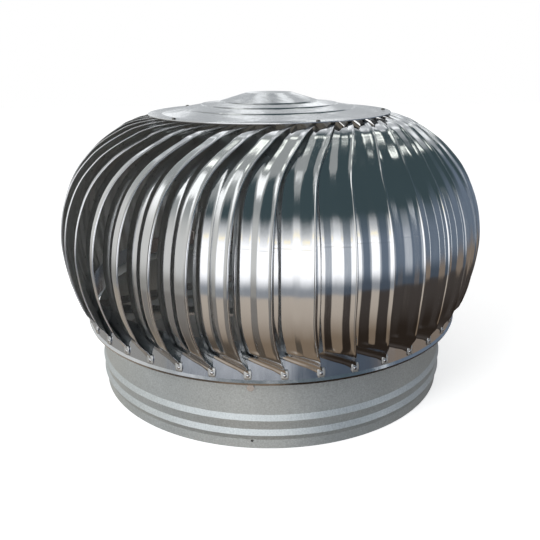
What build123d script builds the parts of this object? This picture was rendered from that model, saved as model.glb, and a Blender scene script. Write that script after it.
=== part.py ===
from build123d import *
import os
from math import cos, degrees, radians, sin, tan

# Roof turbine ventilator: a round throat collar fixed to the roof duct, and a bulbous rotor
# of forty pressed vanes that the wind turns about an upright shaft. Lengths in millimetres,
# angles in degrees. The axis of rotation is Z and the collar's bottom edge lies at z = 0.
# An azimuth is counted from the front (-Y) towards the right (+X).

# Throat collar
throat_diameter = 600.0
collar_height = 135.0
collar_sheet = 1.2
collar_flare = 4.4
ridge_depth = 3.4
lower_ridge_z = 23.0
upper_ridge_z = 47.0
ridge_shoulder = 8.5
fixing_hole_diameter = 4.2
fixing_hole_z = 12.2

# Cross bracket in the throat
bracket_azimuth = -5.5
bracket_arms = 4
bracket_bar_width = 30.0
bracket_bar_thickness = 5.0
bracket_drop = 51.0
bracket_tab_height = 30.0
bracket_hub_radius = 42.0
bracket_bolt_rise = 18.0
bolt_diameter = 6.0
bolt_head_flats = 10.0
bolt_head_height = 4.0
bolt_nut_height = 5.0

# Shaft and its two ball bearings
shaft_diameter = 20.0
shaft_shoulder_diameter = 28.0
shaft_stud_diameter = 16.0
nut_flats = 24.0
nut_height = 13.0
shaft_end_projection = 4.0
bearing_outer_diameter = 47.0
bearing_width = 14.0

# Bearing housings
housing_wall = 3.0
housing_flange_radius = 44.0
housing_flange_thickness = 3.0
housing_lip = 2.0
housing_lip_depth = 4.0

# Skirt ring of the rotor
skirt_overlap = 21.4
skirt_height = 62.0
skirt_clearance = 20.6
skirt_taper = 7.0
skirt_sheet = 0.9
skirt_roll_height = 7.6
skirt_roll_depth = 1.5

# Lower spider of the rotor
spider_arms = 4
spider_azimuth = -59.9
spider_bar_width = 25.0
spider_bar_thickness = 3.0
spider_drop = 7.6
spider_tab_height = 20.0
spider_hub_radius = 46.0

# Top plate and cap
plate_radius = 196.5
plate_thickness = 1.0
plate_rise = 335.6
plate_hole_radius = 24.0
cap_overhang = 3.0
cap_sheet = 0.8
cap_height = 30.0
cap_crown_radius = 38.0
cap_seat_width = 19.5
cap_step_insets = (116.5, 84.5, 56.5)
cap_step_drops = (12.4, 16.8, 22.6)
cap_joggle = 1.4

# Vanes
vane_count = 40
first_vane_azimuth = -35.3
vane_sheet = 0.8
rotor_bulge = 32.0
bead_width = 5.2
bead_height = 2.6
flange_width = 7.0
outer_land_width = 10.0
middle_land_width = 17.0
inner_land_width = 10.5
steep_slope = 34.0
flat_slope = 10.0
foot_rise = 11.6
foot_lean = 3.6
tab_width = 15.0
tab_height = 14.0
tab_drop = 3.0
trim_rise = 16.0
trim_corner_inset = 26.0
trim_corner_rise = 30.0
trim_end_rise = 40.0
top_inset = 6.5
top_lean = 21.0
top_trim_height = 11.0
trim_margin = 1.0

# The line of the rolled edge between foot and top: the share of the height, the share of the
# way in from the widest radius to the radius at the top, and the lean in degrees
edge_line = [
    (0.13, 0.085, 1.4),
    (0.255, 0.026, 0.2),
    (0.40, 0.0, 0.0),
    (0.575, 0.049, 0.3),
    (0.70, 0.150, 0.9),
    (0.81, 0.311, 2.4),
    (0.897, 0.505, 6.1),
    (0.966, 0.732, 12.0),
]

# Clearances
seat_gap = 0.1
running_gap = 0.05

os.makedirs("parts", exist_ok=True)


def save(shape, name):
    """Labels a finished piece and writes it as one STEP file."""
    shape.label = name
    export_step(shape, f"parts/{name}.step")


def at_azimuth(radius, azimuth, z):
    """The point at a radius and height on the upright plane of an azimuth."""
    angle = radians(azimuth)
    return Vector(radius * sin(angle), -radius * cos(angle), z)


def radial_plane(radius, azimuth, z):
    """A plane on that point whose normal points outward and whose Y axis points up."""
    angle = radians(azimuth)
    return Plane(
        origin=at_azimuth(radius, azimuth, z),
        x_dir=(cos(angle), sin(angle), 0),
        z_dir=(sin(angle), -cos(angle), 0),
    )


def azimuths(first, count):
    """Evenly spaced azimuths round the axis."""
    return [first + 360.0 / count * k for k in range(count)]


# Throat collar: a rolled sheet with two swaged ridges, each widening upward to a shoulder
throat_radius = throat_diameter / 2
bracket_bar_z = collar_height - bracket_drop
bracket_bolt_z = bracket_bar_z + bracket_bolt_rise
collar_top_radius = throat_radius + collar_flare
bolt_hole_radius = bolt_diameter / 2 + seat_gap
collar_outline = [
    (throat_radius, 0),
    (throat_radius, lower_ridge_z - ridge_shoulder),
    (throat_radius + ridge_depth, lower_ridge_z),
    (throat_radius, lower_ridge_z + ridge_shoulder),
    (throat_radius + ridge_depth, upper_ridge_z),
    (throat_radius, upper_ridge_z + ridge_shoulder),
    (collar_top_radius, collar_height),
]


def collar_outer_radius(z):
    """Radius of the collar's plain upper wall at a height."""
    start = upper_ridge_z + ridge_shoulder
    return throat_radius + collar_flare * (z - start) / (collar_height - start)


with BuildPart() as throat_collar:
    with BuildSketch(Plane.XZ):
        with BuildLine():
            Polyline(
                *collar_outline,
                *[(r - collar_sheet, z) for r, z in reversed(collar_outline)],
                close=True,
            )
        make_face()
    revolve(axis=Axis.Z)
    for azimuth in azimuths(bracket_azimuth, bracket_arms):
        with BuildSketch(radial_plane(throat_radius - 2 * collar_sheet, azimuth, fixing_hole_z)):
            Circle(fixing_hole_diameter / 2)
        extrude(amount=4 * collar_sheet, mode=Mode.SUBTRACT)
        with BuildSketch(radial_plane(throat_radius - 2 * collar_sheet, azimuth, bracket_bolt_z)):
            Circle(bolt_hole_radius)
        extrude(amount=4 * collar_sheet + collar_flare, mode=Mode.SUBTRACT)
save(throat_collar.part, "throat_collar")


def bar_spider(arms, first_azimuth, bar, reach, tab_height, hub, bolt=None):
    """Flat bars crossing at a round hub plate, each end bent into an upright tab.

    The bar is its width, thickness and height; the hub its radius and hole radius; the bolt
    its hole radius and height. A negative tab height bends the tabs down.
    """
    bar_width, thickness, bar_z = bar
    hub_radius, hub_hole = hub
    tab_z = bar_z if tab_height > 0 else bar_z + thickness
    with BuildPart() as spider:
        with BuildSketch(Plane.XY.offset(bar_z)):
            Circle(hub_radius)
            for azimuth in azimuths(first_azimuth, arms):
                middle = at_azimuth(reach / 2, azimuth, 0)
                with Locations(Location((middle.X, middle.Y, 0), (0, 0, azimuth))):
                    Rectangle(bar_width, reach)
            Circle(hub_hole, mode=Mode.SUBTRACT)
        extrude(amount=thickness)
        for azimuth in azimuths(first_azimuth, arms):
            with BuildSketch(radial_plane(reach - thickness, azimuth, tab_z)):
                with Locations((0, tab_height / 2)):
                    Rectangle(bar_width, abs(tab_height))
            extrude(amount=thickness)
            if bolt:
                with BuildSketch(radial_plane(reach - 2 * thickness, azimuth, bolt[1])):
                    Circle(bolt[0])
                extrude(amount=3 * thickness, mode=Mode.SUBTRACT)
    return spider


# Cross bracket that carries the shaft inside the collar
bracket_sag = bracket_bar_width**2 / 8 / throat_radius
bracket_reach = collar_outer_radius(bracket_bar_z) - collar_sheet - seat_gap - bracket_sag
cross_bracket = bar_spider(
    bracket_arms,
    bracket_azimuth,
    (bracket_bar_width, bracket_bar_thickness, bracket_bar_z),
    bracket_reach,
    bracket_tab_height,
    (bracket_hub_radius, shaft_stud_diameter / 2 + seat_gap),
    bolt=(bolt_hole_radius, bracket_bolt_z),
)
save(cross_bracket.part, "cross_bracket")

# Bolts through collar and bracket tabs, each with its hexagon head outside and nut inside
bolt_head_base = collar_outer_radius(bracket_bolt_z + bolt_head_flats / 2) + 2 * seat_gap
with BuildPart() as bracket_bolts:
    for azimuth in azimuths(bracket_azimuth, bracket_arms):
        with BuildSketch(radial_plane(bolt_head_base, azimuth, bracket_bolt_z)):
            RegularPolygon(bolt_head_flats / 2, 6, major_radius=False)
        extrude(amount=bolt_head_height)
        nut_top = bracket_reach - bracket_bar_thickness - seat_gap
        with BuildSketch(radial_plane(nut_top - bolt_nut_height, azimuth, bracket_bolt_z)):
            Circle(bolt_diameter / 2)
        extrude(amount=bolt_head_base + bolt_nut_height - nut_top)
        with BuildSketch(radial_plane(nut_top - bolt_nut_height, azimuth, bracket_bolt_z)):
            RegularPolygon(bolt_head_flats / 2, 6, major_radius=False)
        extrude(amount=bolt_nut_height)
save(bracket_bolts.part, "bracket_bolts")

# The rotor's levels, and its bearing places below the spider's hub and below the top plate
skirt_bottom_z = collar_height - skirt_overlap
skirt_top_z = skirt_bottom_z + skirt_height
spider_bar_z = skirt_top_z - spider_drop
plate_z = skirt_bottom_z + plate_rise
lower_bearing_top = spider_bar_z - seat_gap
upper_bearing_top = plate_z - seat_gap
bearing_tops = (lower_bearing_top, upper_bearing_top)
shoulder_z = lower_bearing_top - bearing_width - seat_gap
bracket_top = bracket_bar_z + bracket_bar_thickness
shaft_top = upper_bearing_top + nut_height + shaft_end_projection

shaft_bottom = bracket_bar_z - nut_height - shaft_end_projection
shaft_stud_radius = shaft_stud_diameter / 2

# Fixed shaft: stud through the bracket, shoulder below the lower bearing, bearing seats above
with BuildPart() as shaft:
    with BuildSketch(Plane.XZ):
        with BuildLine():
            Polyline(
                (0, shaft_bottom),
                (shaft_stud_radius, shaft_bottom),
                (shaft_stud_radius, bracket_top + seat_gap),
                (shaft_shoulder_diameter / 2, bracket_top + seat_gap),
                (shaft_shoulder_diameter / 2, shoulder_z),
                (shaft_diameter / 2, shoulder_z),
                (shaft_diameter / 2, upper_bearing_top),
                (shaft_stud_radius, upper_bearing_top),
                (shaft_stud_radius, shaft_top),
                (0, shaft_top),
                close=True,
            )
        make_face()
    revolve(axis=Axis.Z)
save(shaft.part, "shaft")

# Hexagon nuts below the bracket and on top of the upper bearing
with BuildPart() as shaft_nuts:
    for nut_z in (bracket_bar_z - seat_gap - nut_height, upper_bearing_top + seat_gap):
        with BuildSketch(Plane.XY.offset(nut_z)):
            RegularPolygon(nut_flats / 2, 6, major_radius=False)
            Circle(shaft_stud_radius + running_gap, mode=Mode.SUBTRACT)
        extrude(amount=nut_height)
save(shaft_nuts.part, "shaft_nuts")

# Ball bearings: the inner rings stay on the shaft, the outer rings with their seals turn
inner_ring_outer = (shaft_diameter + bearing_outer_diameter) / 4
housing_lip_radius = bearing_outer_diameter / 2 - housing_lip_depth
with BuildPart() as bearing_inner_rings:
    for top in bearing_tops:
        with BuildSketch(Plane.XY.offset(top - bearing_width)):
            Circle(inner_ring_outer)
            Circle(shaft_diameter / 2 + running_gap, mode=Mode.SUBTRACT)
        extrude(amount=bearing_width)
save(bearing_inner_rings.part, "bearing_inner_rings")

with BuildPart() as bearing_outer_rings:
    for top in bearing_tops:
        with BuildSketch(Plane.XY.offset(top - bearing_width)):
            Circle(bearing_outer_diameter / 2)
            Circle(inner_ring_outer + running_gap, mode=Mode.SUBTRACT)
        extrude(amount=bearing_width)
save(bearing_outer_rings.part, "bearing_outer_rings")

# Pressed cup housings, flange up, with a lip below the bearing
housing_bore = bearing_outer_diameter / 2 + running_gap
housing_depth = bearing_width + 2 * seat_gap + housing_lip
with BuildPart() as bearing_housings:
    for flange_top in bearing_tops:
        with BuildSketch(Plane.XZ):
            with BuildLine():
                Polyline(
                    (housing_bore, flange_top),
                    (housing_flange_radius, flange_top),
                    (housing_flange_radius, flange_top - housing_flange_thickness),
                    (housing_bore + housing_wall, flange_top - housing_flange_thickness),
                    (housing_bore + housing_wall, flange_top - housing_depth),
                    (housing_lip_radius, flange_top - housing_depth),
                    (housing_lip_radius, flange_top - housing_depth + housing_lip),
                    (housing_bore, flange_top - housing_depth + housing_lip),
                    close=True,
                )
            make_face()
        revolve(axis=Axis.Z)
save(bearing_housings.part, "bearing_housings")


# Skirt ring: a tapered band with its lower edge rolled
skirt_radius = throat_radius + skirt_clearance


def skirt_outer_radius(z):
    """Radius of the skirt's outer wall at a height above its rolled edge."""
    return skirt_radius - skirt_taper * (z - skirt_bottom_z) / skirt_height


roll_top_z = skirt_bottom_z + skirt_roll_height
with BuildPart() as skirt_ring:
    with BuildSketch(Plane.XZ):
        with BuildLine():
            Polyline(
                (skirt_outer_radius(skirt_top_z), skirt_top_z),
                (skirt_outer_radius(roll_top_z), roll_top_z),
                (skirt_radius + skirt_roll_depth, skirt_bottom_z + skirt_roll_height / 2),
                (skirt_radius, skirt_bottom_z),
                (skirt_radius - 2 * skirt_roll_depth, skirt_bottom_z + skirt_roll_height / 3),
                (skirt_outer_radius(roll_top_z) - skirt_sheet, roll_top_z),
                (skirt_outer_radius(skirt_top_z) - skirt_sheet, skirt_top_z),
                close=True,
            )
        make_face()
    revolve(axis=Axis.Z)
save(skirt_ring.part, "skirt_ring")

# Lower spider: bars from the skirt ring to the lower bearing housing, tabs bent down
spider_reach = skirt_outer_radius(spider_bar_z + spider_bar_thickness) - skirt_sheet - seat_gap
spider_reach -= spider_bar_width**2 / 8 / skirt_radius
rotor_spider = bar_spider(
    spider_arms,
    spider_azimuth,
    (spider_bar_width, spider_bar_thickness, spider_bar_z),
    spider_reach,
    -spider_tab_height,
    (spider_hub_radius, housing_lip_radius),
)
save(rotor_spider.part, "rotor_spider")

# Top plate that the vanes hang from
with BuildPart() as top_plate:
    with BuildSketch(Plane.XY.offset(plate_z)):
        Circle(plate_radius)
        Circle(plate_hole_radius, mode=Mode.SUBTRACT)
    extrude(amount=plate_thickness)
save(top_plate.part, "top_plate")

# Cap: a shallow stepped cone with a flat crown and a flat flange
cap_radius = plate_radius + cap_overhang
cap_base_z = plate_z + plate_thickness + seat_gap
cap_top_z = cap_base_z + cap_height + cap_sheet
flange_top_z = cap_base_z + cap_sheet
flange_radius = plate_radius - cap_seat_width
first_step_radius = plate_radius - cap_step_insets[0]
cap_outline = [(0, cap_top_z), (cap_crown_radius, cap_top_z)]
for inset, drop in zip(cap_step_insets, cap_step_drops):
    step_radius = plate_radius - inset
    cap_outline.append((step_radius, cap_top_z - drop))
    cap_outline.append((step_radius + cap_joggle, cap_top_z - drop - cap_joggle))
cap_outline += [(flange_radius, flange_top_z), (cap_radius, flange_top_z)]
cap_underside = [
    (cap_radius, cap_base_z),
    (flange_radius, cap_base_z),
    (first_step_radius, cap_top_z - cap_step_drops[0] - cap_joggle - cap_sheet),
    (cap_crown_radius, cap_top_z - cap_sheet),
    (0, cap_top_z - cap_sheet),
]
with BuildPart() as cap:
    with BuildSketch(Plane.XZ):
        with BuildLine():
            Polyline(*cap_outline, *cap_underside, close=True)
        make_face()
    revolve(axis=Axis.Z)
save(cap.part, "cap")

# Vanes: one pressed strip lofted through level sections, and repeated round the axis.
# A section is a rolled edge and four lands, drawn with X towards the rolled edge and Y inward.
section = [(0, 0.7 * bead_height), (-bead_width / 2, 0), (-bead_width, bead_height)]
for width, slope in (
    (flange_width, steep_slope),
    (outer_land_width, flat_slope),
    (middle_land_width, steep_slope),
    (inner_land_width, flat_slope),
):
    x, y = section[-1]
    section.append((x - width, y + width * tan(radians(slope))))
section += [(x, y + vane_sheet) for x, y in reversed(section[2:])]
strip_width = -min(x for x, y in section)

# The strip's foot is its rolled edge and flange, on a flat tab that lies against the skirt ring
foot_z = skirt_bottom_z + foot_rise
top_z = plate_z - seat_gap
foot_width = bead_width + flange_width
foot_depth = bead_height + flange_width * tan(radians(steep_slope)) + vane_sheet
foot_radius = skirt_outer_radius(foot_z) + foot_depth + foot_width * sin(radians(foot_lean)) + seat_gap
rotor_radius = skirt_radius + rotor_bulge
top_radius = plate_radius - top_inset
stations = [(foot_z, foot_radius, foot_lean)]
for height_share, way_in, lean in edge_line:
    z = foot_z + height_share * (top_z - foot_z)
    stations.append((z, rotor_radius - way_in * (rotor_radius - top_radius), lean))
stations.append((top_z, top_radius, top_lean))
foot_edge_x = at_azimuth(foot_radius, foot_lean, 0).X
top_edge_x = at_azimuth(top_radius, top_lean, 0).X

with BuildPart() as vane:
    for z, radius, azimuth in stations:
        with BuildSketch(Plane(origin=at_azimuth(radius, azimuth, z))):
            with BuildLine():
                Polyline(*section, close=True)
            make_face()
    loft(ruled=True)
    # Below a falling line the lands are cut away from the foot
    with BuildSketch(Plane.XZ):
        with BuildLine():
            Polyline(
                (foot_edge_x - foot_width, foot_z - trim_margin),
                (foot_edge_x - foot_width, foot_z + trim_rise),
                (foot_edge_x - trim_corner_inset, foot_z + trim_corner_rise),
                (foot_edge_x - strip_width, foot_z + trim_end_rise),
                (foot_edge_x - 2 * strip_width, foot_z + trim_end_rise),
                (foot_edge_x - 2 * strip_width, foot_z - trim_margin),
                close=True,
            )
        make_face()
    extrude(amount=2 * rotor_radius, mode=Mode.SUBTRACT)
    # Above a rising line they are cut away from the top
    with BuildSketch(Plane.XZ):
        with BuildLine():
            Polyline(
                (top_edge_x - foot_width, top_z + trim_margin),
                (top_edge_x - foot_width, top_z),
                (top_edge_x - foot_width - strip_width, top_z - top_trim_height),
                (top_edge_x - 3 * strip_width, top_z - 2 * top_trim_height),
                (top_edge_x - 3 * strip_width, top_z + trim_margin),
                close=True,
            )
        make_face()
    extrude(amount=2 * rotor_radius, mode=Mode.SUBTRACT)
    # The tab follows the taper of the skirt ring
    tab_azimuth = foot_lean - degrees(foot_width / 2 / skirt_radius)
    tab_bottom_z = foot_z - tab_drop
    tab_sag = tab_width**2 / 8 / skirt_radius
    outward = at_azimuth(1, tab_azimuth, skirt_taper / skirt_height)
    tab_radius = skirt_outer_radius(tab_bottom_z) + seat_gap
    tab_plane = Plane(
        origin=at_azimuth(tab_radius, tab_azimuth, tab_bottom_z),
        x_dir=at_azimuth(1, tab_azimuth + 90, 0),
        z_dir=outward,
    )
    with BuildSketch(tab_plane):
        with Locations((0, tab_height / 2)):
            Rectangle(tab_width, tab_height)
    extrude(amount=vane_sheet + tab_sag)

for number, azimuth in enumerate(azimuths(first_vane_azimuth, vane_count), start=1):
    save(vane.part.rotate(Axis.Z, azimuth), f"vane_{number:02d}")
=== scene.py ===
from math import cos, pi, radians, sin, tan

import bmesh
import bpy
import numpy as np
from mathutils import Matrix, Vector


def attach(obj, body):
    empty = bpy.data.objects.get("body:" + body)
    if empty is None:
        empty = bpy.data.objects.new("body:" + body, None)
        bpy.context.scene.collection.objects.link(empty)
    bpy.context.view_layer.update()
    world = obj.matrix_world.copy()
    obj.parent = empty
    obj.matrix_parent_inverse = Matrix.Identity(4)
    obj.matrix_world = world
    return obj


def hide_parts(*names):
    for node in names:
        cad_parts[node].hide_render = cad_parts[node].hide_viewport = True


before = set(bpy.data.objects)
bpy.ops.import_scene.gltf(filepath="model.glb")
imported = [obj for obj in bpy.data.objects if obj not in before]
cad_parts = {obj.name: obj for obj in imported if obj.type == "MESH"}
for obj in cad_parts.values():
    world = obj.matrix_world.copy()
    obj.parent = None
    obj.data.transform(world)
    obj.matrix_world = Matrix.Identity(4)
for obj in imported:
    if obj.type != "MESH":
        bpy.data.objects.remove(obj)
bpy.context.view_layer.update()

# Sizes are written in millimetres, as in the part's source, and brought to metres by this
mm = 0.001

# Vanes, placed as in the part's source. Each is one pressed strip, whose section goes from the
# rolled edge inward over lands that are by turns steep and flat.
vane_count = 40
first_vane_azimuth = -35.3
vane_sheet = 0.8
rotor_radius = 352.6
strip_start = 2.2
bead_width = 2.8
bead_height = 1.7
steep_slope = 34.0
flat_slope = 12.0
land_widths = (3.6, 12.4, 10.0, 12.0, 4.6, 6.0)
land_bend = 1.3
foot_z = 122.5
top_z = 449.1
body_rows = 64

# A fine crease runs across every vane, and body rows nearer than crease_clearance give way to it
crease_z = 312.0
crease_depth = 0.22
crease_steps = (-2.4, -1.2, 0.0, 1.2, 2.4)
crease_clearance = 3

# The outer line of the rolled edge: height, how far it lies inside the widest radius, and its
# lean in degrees
edge_line = [
    (122.5, 29.4, 3.8),
    (132.0, 28.0, 3.2),
    (142.0, 22.5, 2.6),
    (154.0, 17.8, 1.9),
    (167.3, 13.8, 1.4),
    (186.0, 8.4, 0.7),
    (207.8, 4.2, 0.2),
    (232.0, 1.2, 0.05),
    (254.8, 0.0, 0.0),
    (284.0, 2.4, 0.1),
    (311.4, 8.0, 0.3),
    (332.0, 15.2, 0.55),
    (352.0, 24.4, 0.9),
    (371.0, 36.5, 1.5),
    (387.6, 50.6, 2.4),
    (403.0, 65.8, 4.0),
    (415.7, 82.1, 6.1),
    (428.0, 100.5, 9.0),
    (438.1, 119.0, 12.0),
    (444.5, 139.0, 15.8),
    (449.1, 162.6, 21.0),
]

# Foot of a vane: the lands end in round fingers near fingers_z, over finger_fade of height, and
# the sheet's lower edge falls from foot_left_z on the side of the edge strip to foot_z at the
# rolled edge. Shares are of the section's width.
foot_rows = 22
foot_start = 176.0
foot_left_z = 152.0
foot_rolled_share = 0.08
foot_edge_power = 0.8
fingers_z = 163.0
finger_fade = 8
finger_height = 2.5
finger_place = 0.24
finger_pitch = 0.43
seat_clearance = 1.2

# Tab under the foot, flat against the skirt ring
tab_width = 11.0
tab_bottom_z = 122.2
tab_top_z = 136.2
tab_azimuth = 2.51
tab_corner = 1.2
tab_rows = 5
tab_columns = 7
tab_clearance = 0.15
skirt_bottom_z = 113.6
skirt_height = 62.0
skirt_radius = 320.6
skirt_taper = 7.0

# Top of a vane: the lands end in round lobes short of the cap
top_rows = 10
top_start = 430.0
top_left_z = 442.5
top_rolled_share = 0.16
lobe_height = 3.2
lobe_place = 0.26
lobe_pitch = 0.37

# Rivets through the tabs, and screws through the cap's flange
rivet_z = 128.0
rivet_radius = 3.1
rivet_height = 2.0
rivet_clearance = 0.1
cap_screw_azimuths = (-47.5, 21.0, 92.5, 165.0, -143.8, -128.0)
cap_screw_ring = 191.0
cap_screw_radius = 3.4
cap_screw_height = 2.2
cap_flange_z = 451.1

# Radius of the open throat
throat_radius = 300.0


def material(name):
    """A new node material with its shader and a place for the other nodes."""
    made = bpy.data.materials.new(name)
    made.use_nodes = True
    nodes = made.node_tree.nodes
    return made, nodes, made.node_tree.links, nodes["Principled BSDF"]


def placed(name, data):
    """A new object of the scene from its mesh, light or camera."""
    made = bpy.data.objects.new(name, data)
    bpy.context.collection.objects.link(made)
    return made


def noise(nodes, links, coords, scale, detail=4.0, roughness=0.55, stretch=(1, 1, 1)):
    """A noise texture in the object's own coordinates, stretched by a mapping."""
    mapping = nodes.new("ShaderNodeMapping")
    mapping.inputs["Scale"].default_value = stretch
    links.new(coords.outputs["Object"], mapping.inputs["Vector"])
    texture = nodes.new("ShaderNodeTexNoise")
    texture.inputs["Scale"].default_value = scale
    texture.inputs["Detail"].default_value = detail
    texture.inputs["Roughness"].default_value = roughness
    links.new(mapping.outputs["Vector"], texture.inputs["Vector"])
    return texture


def ramp(nodes, links, source, stops):
    """A colour ramp from a list of (position, colour or grey)."""
    made = nodes.new("ShaderNodeValToRGB")
    elements = made.color_ramp.elements
    while len(elements) < len(stops):
        elements.new(0.5)
    for element, (position, colour) in zip(elements, stops):
        element.position = position
        if not isinstance(colour, tuple):
            colour = (colour, colour, colour)
        element.color = (*colour, 1)
    links.new(source, made.inputs["Fac"])
    return made


def bump(nodes, links, source, distance, strength, below=None):
    """A bump node, chained after another one where given."""
    made = nodes.new("ShaderNodeBump")
    made.inputs["Distance"].default_value = distance
    made.inputs["Strength"].default_value = strength
    links.new(source, made.inputs["Height"])
    if below:
        links.new(below.outputs["Normal"], made.inputs["Normal"])
    return made


def polished_steel(name, tint, rough, wave, metal=1.0):
    """Bright mill finish sheet: faint long grain, fine scratches, small dents and rubbed patches."""
    made, nodes, links, shader = material(name)
    coords = nodes.new("ShaderNodeTexCoord")
    shader.inputs["Metallic"].default_value = metal
    patches = noise(nodes, links, coords, 9.0, 3.0)
    dull = tuple(channel * 0.94 for channel in tint)
    colour = ramp(nodes, links, patches.outputs["Fac"], [(0.3, dull), (0.7, tint)])
    links.new(colour.outputs["Color"], shader.inputs["Base Color"])
    grain = noise(nodes, links, coords, 160.0, 5.0, 0.6, (1, 1, 0.08))
    rub = ramp(nodes, links, grain.outputs["Fac"], [(0.25, rough * 0.75), (0.8, rough * 1.5)])
    links.new(rub.outputs["Color"], shader.inputs["Roughness"])
    scratches = noise(nodes, links, coords, 60.0, 3.0, 0.6, (1, 1, 0.12))
    dents = noise(nodes, links, coords, 22.0, 2.0, 0.5, (1, 1, 0.5))
    low = bump(nodes, links, dents.outputs["Fac"], 0.001, wave)
    lines = bump(nodes, links, scratches.outputs["Fac"], 0.0005, wave * 0.6, low)
    fine = bump(nodes, links, grain.outputs["Fac"], 0.0002, 0.2, lines)
    links.new(fine.outputs["Normal"], shader.inputs["Normal"])
    return made


def galvanised_steel(name):
    """Dull zinc coated sheet with a fine grain."""
    made, nodes, links, shader = material(name)
    coords = nodes.new("ShaderNodeTexCoord")
    shader.inputs["Metallic"].default_value = 0.7
    speckle = noise(nodes, links, coords, 420.0, 3.0, 0.6)
    cloud = noise(nodes, links, coords, 7.0, 3.0)
    mixed = nodes.new("ShaderNodeMix")
    mixed.data_type = "FLOAT"
    mixed.inputs["Factor"].default_value = 0.35
    links.new(speckle.outputs["Fac"], mixed.inputs["A"])
    links.new(cloud.outputs["Fac"], mixed.inputs["B"])
    colour = ramp(nodes, links, mixed.outputs["Result"],
                  [(0.3, (0.48, 0.52, 0.53)), (0.5, (0.62, 0.665, 0.675)), (0.7, (0.78, 0.83, 0.84))])
    links.new(colour.outputs["Color"], shader.inputs["Base Color"])
    rub = ramp(nodes, links, speckle.outputs["Fac"], [(0.3, 0.34), (0.7, 0.50)])
    links.new(rub.outputs["Color"], shader.inputs["Roughness"])
    grain = bump(nodes, links, speckle.outputs["Fac"], 0.0003, 0.25)
    links.new(grain.outputs["Normal"], shader.inputs["Normal"])
    return made


vane_steel = polished_steel("vane_steel", (0.76, 0.77, 0.78), 0.11, 0.5)
vane_back_steel = polished_steel("vane_back_steel", (0.66, 0.67, 0.66), 0.30, 0.3, 0.75)
skirt_steel = polished_steel("skirt_steel", (0.74, 0.76, 0.79), 0.13, 0.9)
cap_steel = polished_steel("cap_steel", (0.72, 0.73, 0.74), 0.16, 1.2)
bar_steel = polished_steel("bar_steel", (0.50, 0.51, 0.52), 0.28, 0.3)
turned_steel = polished_steel("turned_steel", (0.60, 0.60, 0.60), 0.22, 0.1)
fastener_steel = polished_steel("fastener_steel", (0.72, 0.72, 0.74), 0.18, 0.1)
screw_steel = polished_steel("screw_steel", (0.30, 0.29, 0.27), 0.30, 0.1)
collar_steel = galvanised_steel("collar_steel")

node_materials = {
    "throat_collar": collar_steel,
    "cross_bracket": bar_steel,
    "bracket_bolts": fastener_steel,
    "shaft": turned_steel,
    "shaft_nuts": fastener_steel,
    "bearing_inner_rings": turned_steel,
    "bearing_outer_rings": turned_steel,
    "bearing_housings": bar_steel,
    "skirt_ring": skirt_steel,
    "rotor_spider": bar_steel,
    "top_plate": bar_steel,
    "cap": cap_steel,
}
for node, steel in node_materials.items():
    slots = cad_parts[node].data.materials
    slots.clear()
    slots.append(steel)


def smooth_through(x, knots, values):
    """A smooth curve through knots, with the mean of both neighbours' slopes at each."""
    knots = np.array(knots)
    values = np.array(values)
    slopes = np.gradient(values, knots)
    k = np.clip(np.searchsorted(knots, x) - 1, 0, len(knots) - 2)
    span = knots[k + 1] - knots[k]
    t = (x - knots[k]) / span
    return (
        (2 * t**3 - 3 * t**2 + 1) * values[k]
        + (t**3 - 2 * t**2 + t) * span * slopes[k]
        + (-2 * t**3 + 3 * t**2) * values[k + 1]
        + (t**3 - t**2) * span * slopes[k + 1]
    )


def section_points():
    """The strip's outer face from its rolled edge inward.

    A half round edge is followed by lands, by turns steep and flat, that meet in small rounds.
    """
    bead_steps = 5
    points = []
    for k in range(bead_steps + 1):
        turn = pi * k / bead_steps
        across = bead_width / 2 * (1 - cos(turn))
        points.append((-strip_start - across, bead_height * (1 - sin(turn))))
    corners = [points[-1]]
    for k, width in enumerate(land_widths):
        slope = flat_slope if k % 2 else steep_slope
        x, y = corners[-1]
        corners.append((x - width, y + width * tan(radians(slope))))
    # Each land stops short of its corners, by half as much at the rolled edge and not at all at
    # the free end, and the points near its ends keep it flat between the rounds
    for k in range(1, len(corners)):
        start = Vector(corners[k - 1])
        end = Vector(corners[k])
        along = (end - start).normalized()
        first = start + along * land_bend * (0.5 if k == 1 else 1)
        last = end - along * land_bend * (k < len(corners) - 1)
        points += [tuple(first.lerp(last, share)) for share in (0, 0.12, 0.88, 1)]
    return np.array(points)


def ease(t):
    """A smooth step from 0 to 1."""
    t = np.clip(t, 0, 1)
    return t * t * (3 - 2 * t)


def skirt_wall(z):
    """Radius of the skirt ring's outer wall at a height."""
    return skirt_radius - skirt_taper * (z - skirt_bottom_z) / skirt_height


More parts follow.
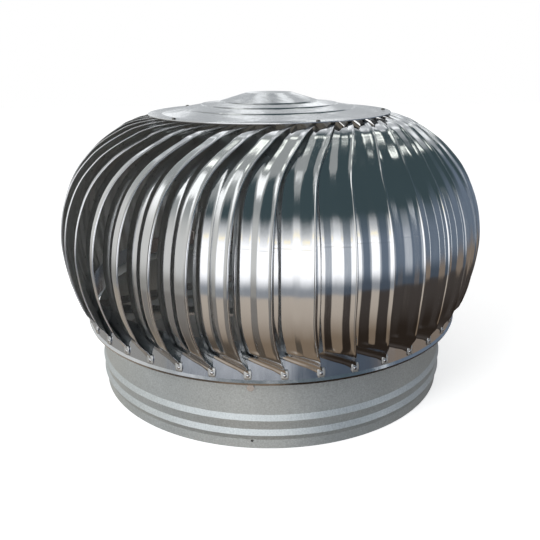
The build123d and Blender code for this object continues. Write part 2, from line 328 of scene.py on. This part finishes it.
def vane_grid():
    """Rows of points over one vane at azimuth 0, as a single sheet."""
    section = section_points()
    width = -section[:, 0].min()
    across = -section[:, 0] / width
    plain = section[:, 1].max() * across
    knots, insets, leans = zip(*edge_line)
    rise = np.clip((across - foot_rolled_share) / (1 - foot_rolled_share), 0, 1)
    lower_edge = foot_z + (foot_left_z - foot_z) * rise**foot_edge_power
    lobes = lobe_height * np.cos(2 * pi * (across - lobe_place) / lobe_pitch)
    upper_edge = np.where(across < top_rolled_share, top_z, top_left_z + lobes)
    fingers = fingers_z + finger_height * np.cos(2 * pi * (across - finger_place) / finger_pitch)
    body = np.linspace(foot_start, top_start, body_rows)
    body = [z for z in body if abs(z - crease_z) > crease_clearance]
    body = sorted(body + [crease_z + step for step in crease_steps])
    grid = []
    for row in range(foot_rows + len(body) + top_rows):
        if row < foot_rows:
            z = lower_edge + (foot_start - lower_edge) * row / foot_rows
        elif row < foot_rows + len(body):
            z = np.full(len(section), body[row - foot_rows])
        else:
            share = (row - foot_rows - len(body) + 1) / top_rows
            z = top_start + (upper_edge - top_start) * share
        radius = rotor_radius - smooth_through(z, knots, insets)
        radius -= crease_depth * (np.abs(z - crease_z) < 0.1)
        lean = np.radians(smooth_through(z, knots, leans))
        # Below the fingers' ends the lands run out into a plain sheet
        relief = ease((z - fingers + finger_fade / 2) / finger_fade)
        depth = plain + (section[:, 1] - plain) * relief
        x = radius * np.sin(lean) + section[:, 0]
        y = -radius * np.cos(lean) + depth
        # Over the last five eighths of the foot's height the sheet bends in until it lies on the
        # skirt ring
        wall = skirt_wall(z) + seat_clearance
        distance = np.hypot(x, y)
        drop = (foot_start - z) / (foot_start - lower_edge)
        pull = ease(drop * 1.6 - 0.6) * (distance > wall)
        scale = 1 - pull * (1 - wall / distance)
        grid.append(np.stack([x * scale, y * scale, z], -1))
    return np.array(grid) * mm


def tab_grid():
    """Rows of points over the tab that lies against the skirt ring under a vane's foot."""
    grid = []
    last_row = tab_rows - 1
    for row in range(tab_rows):
        z = tab_bottom_z + (tab_top_z - tab_bottom_z) * row / last_row
        round_off = tab_corner if row in (0, last_row) else 0.0
        half = tab_width / 2 - round_off
        radius = skirt_wall(z) + vane_sheet + tab_clearance
        angles = radians(tab_azimuth) + np.linspace(-half, half, tab_columns) / radius
        height = np.full(tab_columns, z)
        grid.append(np.stack([radius * np.sin(angles), -radius * np.cos(angles), height], -1))
    return np.array(grid) * mm


def turned(points, azimuth):
    """Points turned about the axis by an azimuth."""
    angle = radians(azimuth)
    x = points[..., 0] * cos(angle) - points[..., 1] * sin(angle)
    y = points[..., 0] * sin(angle) + points[..., 1] * cos(angle)
    return np.stack([x, y, points[..., 2]], -1)


def sheet_object(name, grids, steel):
    """An object from grids of points, with smooth faces."""
    points = []
    faces = []
    for grid in grids:
        rows, columns = grid.shape[:2]
        base = len(points)
        points += grid.reshape(-1, 3).tolist()
        for i in range(rows - 1):
            for j in range(columns - 1):
                a = base + i * columns + j
                faces.append((a, a + columns, a + columns + 1, a + 1))
    mesh = bpy.data.meshes.new(name)
    mesh.from_pydata(points, [], faces)
    mesh.polygons.foreach_set("use_smooth", [True] * len(mesh.polygons))
    mesh.materials.append(steel)
    return placed(name, mesh)


def dome_heads(name, places, radius, height, steel):
    """Round fastener heads in one object, from places and outward directions."""
    rings = 5
    sides = 20
    dome_power = 0.8
    mesh = bpy.data.meshes.new(name)
    build = bmesh.new()
    for place, outward in places:
        turn = Vector((0, 0, 1)).rotation_difference(outward).to_matrix()
        previous = None
        for ring in range(rings):
            angle = pi / 2 * ring / rings
            flat = radius * cos(angle) ** dome_power
            up = height * sin(angle)
            corners = []
            for side in range(sides):
                around = 2 * pi * side / sides
                corner = turn @ Vector((flat * cos(around), flat * sin(around), up))
                corners.append(build.verts.new((place + corner) * mm))
            if previous:
                for side in range(sides):
                    after = (side + 1) % sides
                    build.faces.new((previous[side], previous[after], corners[after], corners[side]))
            else:
                build.faces.new(corners[::-1])
            previous = corners
        tip = build.verts.new((place + turn @ Vector((0, 0, height))) * mm)
        for side in range(sides):
            build.faces.new((previous[side], previous[(side + 1) % sides], tip))
    build.to_mesh(mesh)
    build.free()
    mesh.polygons.foreach_set("use_smooth", [True] * len(mesh.polygons))
    mesh.materials.append(steel)
    return placed(name, mesh)


vane_points = vane_grid()
tab_points = tab_grid()
for number in range(vane_count):
    azimuth = first_vane_azimuth + 360 / vane_count * number
    grids = [turned(vane_points, azimuth), turned(tab_points, azimuth)]
    vane = sheet_object(f"pressed_vane_{number + 1:02d}", grids, vane_steel)
    thickness = vane.modifiers.new("sheet", "SOLIDIFY")
    thickness.thickness = vane_sheet * mm
    thickness.offset = -1
    # The sheet's back has the second material
    vane.data.materials.append(vane_back_steel)
    thickness.material_offset = 1
    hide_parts(f"vane_{number + 1:02d}")
    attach(vane, "rotor")

rivet_places = []
for number in range(vane_count):
    angle = radians(first_vane_azimuth + tab_azimuth + 360 / vane_count * number)
    outward = Vector((sin(angle), -cos(angle), 0))
    radius = skirt_wall(rivet_z) + vane_sheet + rivet_clearance
    rivet_places.append((outward * radius + Vector((0, 0, rivet_z)), outward))
rivets = dome_heads("vane_rivets", rivet_places, rivet_radius, rivet_height, fastener_steel)
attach(rivets, "rotor")

screw_places = []
for azimuth in cap_screw_azimuths:
    angle = radians(azimuth)
    place = Vector((sin(angle) * cap_screw_ring, -cos(angle) * cap_screw_ring, cap_flange_z))
    screw_places.append((place, Vector((0, 0, 1))))
screws = dome_heads("cap_screws", screw_places, cap_screw_radius, cap_screw_height, screw_steel)
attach(screws, "rotor")


def band(value, low, high, soft):
    """1 between two limits, fading to 0 over a soft width outside them."""
    return ease((value - low) / soft + 1) * ease((high - value) / soft + 1)


def blended(low, high, share):
    """Colours between two, by an array of shares."""
    return np.asarray(low) + (np.asarray(high) - np.asarray(low)) * np.asarray(share)[..., None]


# What the bright metal mirrors, as colours by layer and side
yard_colours = {
    "right": (0.065, 0.055, 0.050),
    "front": (0.55, 0.48, 0.41),
    "left": (0.24, 0.225, 0.21),
    "far_left": (0.42, 0.37, 0.31),
    "underfoot": (0.42, 0.36, 0.30),
}
wall_colours = {
    "right": (0.075, 0.095, 0.125),
    "front": (0.30, 0.32, 0.35),
    "left": (0.34, 0.33, 0.31),
    "far_right": (0.25, 0.20, 0.16),
}
opening_colours = {
    "right": (0.16, 0.20, 0.26),
    "beside_front": (0.46, 0.50, 0.56),
    "right_gap": (1.10, 1.14, 1.20),
    "front": (1.50, 1.50, 1.53),
    "left": (0.72, 0.72, 0.70),
}
roof_colours = {
    "right": (0.052, 0.080, 0.090),
    "left": (0.36, 0.38, 0.38),
    "left_gap": (1.35, 1.37, 1.37),
}
back_colours = {
    "dull": (0.50, 0.52, 0.54),
    "bright": (1.25, 1.28, 1.30),
}
skylight_colour = (1.55, 1.60, 1.50)
roof_lamp_colour = (1.5, 1.3, 0.8)

# Where each layer starts to take over from the one below it, and over how many degrees
wall_rise = (-22.5, 2.5)
opening_rise = (-15, 13)
roof_rise = (16, 24)


def surroundings_colour(azimuth, elevation):
    """What the bright metal mirrors, by arrays of azimuth and elevation in degrees.

    From below: a tan yard that is dark to the right, a wall, an opening that is white to the
    front, and a dark roof. Behind are streaks of light and skylights, and small warm lamps
    hang to the front.
    """
    front = band(azimuth, -52, 6, 14)
    left = band(azimuth, -150, -60, 16) * (1 - front)
    far_left = band(azimuth, -181, -112, 20)
    any_left = np.maximum(left, far_left)
    behind = band(np.abs(azimuth), 150, 181, 22)

    low = ease((-24 - elevation) / 34)
    yard = blended(yard_colours["right"], yard_colours["front"], front)
    yard = blended(yard, yard_colours["left"], left * (1 - far_left))
    yard = blended(yard, yard_colours["far_left"], far_left)
    yard = yard * blended((1, 1, 1), yard_colours["underfoot"], low)

    wall = blended(wall_colours["right"], wall_colours["front"], front)
    wall = blended(wall, wall_colours["left"], left)
    wall = blended(wall, wall_colours["far_right"], band(azimuth, 75, 130, 20))

    beside_front = band(azimuth, 4, 26, 12)
    opening = blended(opening_colours["right"], opening_colours["beside_front"], beside_front)
    opening = blended(opening, opening_colours["right_gap"], band(azimuth, 66, 69, 3))
    opening = blended(opening, opening_colours["front"], front)
    opening = blended(opening, opening_colours["left"], any_left)

    left_gap = band(azimuth, -104, -84, 5) * band(elevation, 0, 60, 16)
    roof = blended(roof_colours["right"], roof_colours["left"], any_left)
    roof = blended(roof, roof_colours["left_gap"], left_gap)

    colour = blended(yard, wall, ease((elevation - wall_rise[0]) / wall_rise[1]))
    colour = blended(colour, opening, ease((elevation - opening_rise[0]) / opening_rise[1]))
    colour = blended(colour, roof, ease((elevation - roof_rise[0]) / roof_rise[1]) ** 0.8)

    streaks = np.cos(np.radians(azimuth * 37 + 40))
    streaks = streaks + np.cos(np.radians(azimuth * 23 + elevation * 20))
    back_light = behind * band(elevation, 4, 40, 8)
    colour = blended(colour, back_colours["dull"], back_light)
    colour = blended(colour, back_colours["bright"], back_light * ease(streaks * 0.6 + 0.2))

    panes = ease(np.cos(np.radians(azimuth * 14)) * 1.5 + 0.6)
    skylight = band(np.abs(azimuth), 122, 176, 8) * band(elevation, 55, 61, 3) * panes
    colour = blended(colour, skylight_colour, skylight)

    spacing = ease(np.cos(np.radians(azimuth * 9)) + 0.4)
    roof_lamps = band(azimuth, -60, 14, 4) * band(elevation, 22.4, 23.4, 0.8) * spacing
    return blended(colour, roof_lamp_colour, roof_lamps)


# Floor, world and lamp. The floor and the world are white, the floor in the open throat has no
# glow, and only mirror rays see the painted surroundings.
floor_shape = bpy.data.meshes.new("floor")
floor_shape.from_pydata([(-6, -6, 0), (6, -6, 0), (6, 6, 0), (-6, 6, 0)], [], [(0, 1, 2, 3)])
floor = placed("floor", floor_shape)
floor_white, nodes, links, shader = material("floor_white")
shader.inputs["Base Color"].default_value = (0.9, 0.9, 0.9, 1)
shader.inputs["Roughness"].default_value = 0.9
shader.inputs["Emission Color"].default_value = (1, 1, 1, 1)
floor_path = nodes.new("ShaderNodeLightPath")
floor_share = nodes.new("ShaderNodeMath")
floor_share.operation = "MULTIPLY"
floor_share.inputs[1].default_value = 0.5
floor_place = nodes.new("ShaderNodeTexCoord")
floor_reach = nodes.new("ShaderNodeVectorMath")
floor_reach.operation = "LENGTH"
links.new(floor_place.outputs["Object"], floor_reach.inputs[0])
outside_throat = nodes.new("ShaderNodeMath")
outside_throat.operation = "GREATER_THAN"
outside_throat.inputs[1].default_value = throat_radius * mm
links.new(floor_reach.outputs["Value"], outside_throat.inputs[0])
floor_seen = nodes.new("ShaderNodeMath")
floor_seen.operation = "MULTIPLY"
links.new(floor_path.outputs["Is Camera Ray"], floor_seen.inputs[0])
links.new(outside_throat.outputs["Value"], floor_seen.inputs[1])
links.new(floor_seen.outputs["Value"], floor_share.inputs[0])
links.new(floor_share.outputs["Value"], shader.inputs["Emission Strength"])
floor_shape.materials.append(floor_white)
floor.visible_glossy = False


def surroundings(radius):
    """A large sphere with one colour per corner, seen by mirror rays alone."""
    shape = bpy.data.meshes.new("surroundings")
    build = bmesh.new()
    bmesh.ops.create_uvsphere(build, u_segments=360, v_segments=240, radius=radius)
    build.to_mesh(shape)
    build.free()
    paint = shape.color_attributes.new("paint", "FLOAT_COLOR", "POINT")
    places = np.array([vertex.co for vertex in shape.vertices])
    azimuth = np.degrees(np.arctan2(places[:, 0], -places[:, 1]))
    elevation = np.degrees(np.arctan2(places[:, 2], np.hypot(places[:, 0], places[:, 1])))
    colours = np.ones((len(places), 4))
    colours[:, :3] = surroundings_colour(azimuth, elevation)
    paint.data.foreach_set("color", colours.ravel())
    made, nodes, links, shader = material("surroundings")
    nodes.remove(shader)
    reader = nodes.new("ShaderNodeVertexColor")
    reader.layer_name = "paint"
    glow = nodes.new("ShaderNodeEmission")
    links.new(reader.outputs["Color"], glow.inputs["Color"])
    links.new(glow.outputs["Emission"], nodes["Material Output"].inputs["Surface"])
    shape.materials.append(made)
    ball = placed("surroundings", shape)
    ball.visible_camera = False
    ball.visible_diffuse = False
    ball.visible_transmission = False
    ball.visible_shadow = False


surroundings(9.0)

world = bpy.data.worlds.new("studio")
bpy.context.scene.world = world
world.use_nodes = True
world_nodes = world.node_tree.nodes
world_links = world.node_tree.links
path = world_nodes.new("ShaderNodeLightPath")
white_world = world_nodes.new("ShaderNodeBackground")
white_world.inputs["Strength"].default_value = 1.0
white_world.inputs["Color"].default_value = (1, 1, 1, 1)
plain_world = world_nodes["Background"]
plain_world.inputs["Color"].default_value = (1, 1, 1, 1)
plain_world.inputs["Strength"].default_value = 0.6
seen = world_nodes.new("ShaderNodeMath")
seen.operation = "MAXIMUM"
world_links.new(path.outputs["Is Camera Ray"], seen.inputs[0])
world_links.new(path.outputs["Is Transmission Ray"], seen.inputs[1])
choice = world_nodes.new("ShaderNodeMixShader")
world_links.new(seen.outputs["Value"], choice.inputs["Fac"])
world_links.new(plain_world.outputs["Background"], choice.inputs[1])
world_links.new(white_world.outputs["Background"], choice.inputs[2])
world_links.new(choice.outputs["Shader"], world_nodes["World Output"].inputs["Surface"])


def lamp(name, place, target, size, power):
    """A square area lamp aimed at a point, which no mirror shows."""
    data = bpy.data.lights.new(name, "AREA")
    data.size = size
    data.energy = power
    made = placed(name, data)
    made.location = place
    made.visible_glossy = False
    aim = Vector(target) - Vector(place)
    made.rotation_euler = aim.to_track_quat("-Z", "Y").to_euler()


lamp("key", (-1.6, -2.2, 2.0), (0, 0, 0.25), 1.2, 40)

# Camera at the photograph's place
camera_distance = 1087.04
camera_height = 541.28
camera_pitch = 0.326383
camera_yaw = -0.0010
camera_roll = 0.009
focal_pixels = 634.94
frame_pixels = 540
centre_row = 268.55

camera_data = bpy.data.cameras.new("camera")
camera_data.sensor_width = 36
camera_data.lens = focal_pixels / frame_pixels * camera_data.sensor_width
camera_data.shift_y = (centre_row - frame_pixels / 2) / frame_pixels
camera_data.clip_end = 100
camera = placed("camera", camera_data)
forward = Vector((
    sin(camera_yaw) * cos(camera_pitch),
    cos(camera_yaw) * cos(camera_pitch),
    -sin(camera_pitch),
))
level = Vector((cos(camera_yaw), -sin(camera_yaw), 0))
down = forward.cross(level)
right = level * cos(camera_roll) + down * sin(camera_roll)
up = level * sin(camera_roll) - down * cos(camera_roll)
facing = Matrix((right, up, -forward)).transposed().to_4x4()
camera.matrix_world = Matrix.Translation((0, -camera_distance * mm, camera_height * mm)) @ facing
bpy.context.scene.camera = camera

bpy.context.scene.view_settings.view_transform = "Standard"
